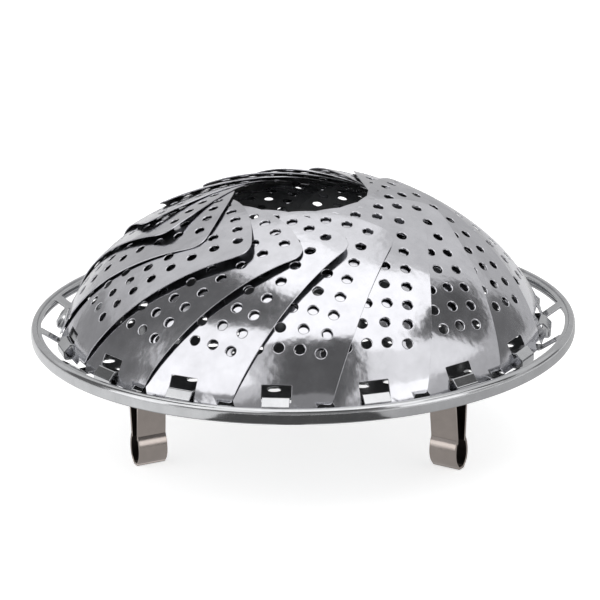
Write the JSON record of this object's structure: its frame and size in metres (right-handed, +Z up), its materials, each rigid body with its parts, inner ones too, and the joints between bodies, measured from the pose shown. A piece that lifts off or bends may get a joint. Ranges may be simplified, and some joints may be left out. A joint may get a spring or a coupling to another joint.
{
  "type": "folding steamer basket",
  "caption": "Round stainless steel steamer basket whose overlapping perforated petals hinge on a base plate with a rolled rim, standing on fold-away strip legs.",
  "frame": {"origin": "on the table, below the centre of the basket", "axes": "+Z up; the side seen in the picture faces -Y"},
  "size_m": [0.1398, 0.1398, 0.0662],
  "materials": {
    "plate": "polished stainless steel",
    "petals": "mirror polished stainless steel",
    "legs": "bright rolled stainless steel strip",
    "pins": "turned stainless steel"
  },
  "bodies": {
    "base": {"base_plate": "plate", "leg_pin_1": "pins", "leg_pin_2": "pins", "leg_pin_3": "pins"},
    "petal_01": {"petal_01": "petals"},
    "petal_02": {"petal_02": "petals"},
    "petal_03": {"petal_03": "petals"},
    "petal_04": {"petal_04": "petals"},
    "petal_05": {"petal_05": "petals"},
    "petal_06": {"petal_06": "petals"},
    "petal_07": {"petal_07": "petals"},
    "petal_08": {"petal_08": "petals"},
    "petal_09": {"petal_09": "petals"},
    "petal_10": {"petal_10": "petals"},
    "petal_11": {"petal_11": "petals"},
    "petal_12": {"petal_12": "petals"},
    "petal_13": {"petal_13": "petals"},
    "petal_14": {"petal_14": "petals"},
    "petal_15": {"petal_15": "petals"},
    "petal_16": {"petal_16": "petals"},
    "leg_1": {"leg_1": "legs"},
    "leg_2": {"leg_2": "legs"},
    "leg_3": {"leg_3": "legs"}
  },
  "joints": [
    {"name": "petal_01_hinge", "type": "hinge", "parent": "base", "child": "petal_01", "pos_m": [-0.0068, -0.06159, 0.0305], "axis": [0.994, -0.1097, 0], "range_deg": [0, 88]},
    {"name": "petal_02_hinge", "type": "hinge", "parent": "base", "child": "petal_02", "pos_m": [0.01729, -0.0595, 0.0305], "axis": [0.9603, 0.279, 0], "range_deg": [0, 88]},
    {"name": "petal_03_hinge", "type": "hinge", "parent": "base", "child": "petal_03", "pos_m": [0.03874, -0.04836, 0.0305], "axis": [0.7804, 0.6252, 0], "range_deg": [0, 88]},
    {"name": "petal_04_hinge", "type": "hinge", "parent": "base", "child": "petal_04", "pos_m": [0.0543, -0.02985, 0.0305], "axis": [0.4818, 0.8763, 0], "range_deg": [0, 88]},
    {"name": "petal_05_hinge", "type": "hinge", "parent": "base", "child": "petal_05", "pos_m": [0.06159, -0.0068, 0.0305], "axis": [0.1097, 0.994, 0], "range_deg": [0, 88]},
    {"name": "petal_06_hinge", "type": "hinge", "parent": "base", "child": "petal_06", "pos_m": [0.0595, 0.01729, 0.0305], "axis": [-0.279, 0.9603, 0], "range_deg": [0, 88]},
    {"name": "petal_07_hinge", "type": "hinge", "parent": "base", "child": "petal_07", "pos_m": [0.04836, 0.03874, 0.0305], "axis": [-0.6252, 0.7804, 0], "range_deg": [0, 88]},
    {"name": "petal_08_hinge", "type": "hinge", "parent": "base", "child": "petal_08", "pos_m": [0.02985, 0.0543, 0.0305], "axis": [-0.8763, 0.4818, 0], "range_deg": [0, 88]},
    {"name": "petal_09_hinge", "type": "hinge", "parent": "base", "child": "petal_09", "pos_m": [0.0068, 0.06159, 0.0305], "axis": [-0.994, 0.1097, 0], "range_deg": [0, 88]},
    {"name": "petal_10_hinge", "type": "hinge", "parent": "base", "child": "petal_10", "pos_m": [-0.01729, 0.0595, 0.0305], "axis": [-0.9603, -0.279, 0], "range_deg": [0, 88]},
    {"name": "petal_11_hinge", "type": "hinge", "parent": "base", "child": "petal_11", "pos_m": [-0.03874, 0.04836, 0.0305], "axis": [-0.7804, -0.6252, 0], "range_deg": [0, 88]},
    {"name": "petal_12_hinge", "type": "hinge", "parent": "base", "child": "petal_12", "pos_m": [-0.0543, 0.02985, 0.0305], "axis": [-0.4818, -0.8763, 0], "range_deg": [0, 88]},
    {"name": "petal_13_hinge", "type": "hinge", "parent": "base", "child": "petal_13", "pos_m": [-0.06159, 0.0068, 0.0305], "axis": [-0.1097, -0.994, 0], "range_deg": [0, 88]},
    {"name": "petal_14_hinge", "type": "hinge", "parent": "base", "child": "petal_14", "pos_m": [-0.0595, -0.01729, 0.0305], "axis": [0.279, -0.9603, 0], "range_deg": [0, 88]},
    {"name": "petal_15_hinge", "type": "hinge", "parent": "base", "child": "petal_15", "pos_m": [-0.04836, -0.03874, 0.0305], "axis": [0.6252, -0.7804, 0], "range_deg": [0, 88]},
    {"name": "petal_16_hinge", "type": "hinge", "parent": "base", "child": "petal_16", "pos_m": [-0.02985, -0.0543, 0.0305], "axis": [0.8763, -0.4818, 0], "range_deg": [0, 88]},
    {"name": "leg_1_hinge", "type": "hinge", "parent": "base", "child": "leg_1", "pos_m": [0.03519, -0.02649, 0.02656], "axis": [-0.8241, 0.5664, 0], "range_deg": [0, 90]},
    {"name": "leg_2_hinge", "type": "hinge", "parent": "base", "child": "leg_2", "pos_m": [0.00535, 0.04372, 0.02656], "axis": [-0.0785, -0.9969, 0], "range_deg": [0, 90]},
    {"name": "leg_3_hinge", "type": "hinge", "parent": "base", "child": "leg_3", "pos_m": [-0.04053, -0.01723, 0.02656], "axis": [0.9026, 0.4305, 0], "range_deg": [0, 90]}
  ],
  "couplings": [
    {"joint": "petal_02_hinge", "follows": "petal_01_hinge", "ratio": 1},
    {"joint": "petal_03_hinge", "follows": "petal_01_hinge", "ratio": 1},
    {"joint": "petal_04_hinge", "follows": "petal_01_hinge", "ratio": 1},
    {"joint": "petal_05_hinge", "follows": "petal_01_hinge", "ratio": 1},
    {"joint": "petal_06_hinge", "follows": "petal_01_hinge", "ratio": 1},
    {"joint": "petal_07_hinge", "follows": "petal_01_hinge", "ratio": 1},
    {"joint": "petal_08_hinge", "follows": "petal_01_hinge", "ratio": 1},
    {"joint": "petal_09_hinge", "follows": "petal_01_hinge", "ratio": 1},
    {"joint": "petal_10_hinge", "follows": "petal_01_hinge", "ratio": 1},
    {"joint": "petal_11_hinge", "follows": "petal_01_hinge", "ratio": 1},
    {"joint": "petal_12_hinge", "follows": "petal_01_hinge", "ratio": 1},
    {"joint": "petal_13_hinge", "follows": "petal_01_hinge", "ratio": 1},
    {"joint": "petal_14_hinge", "follows": "petal_01_hinge", "ratio": 1},
    {"joint": "petal_15_hinge", "follows": "petal_01_hinge", "ratio": 1},
    {"joint": "petal_16_hinge", "follows": "petal_01_hinge", "ratio": 1}
  ]
}
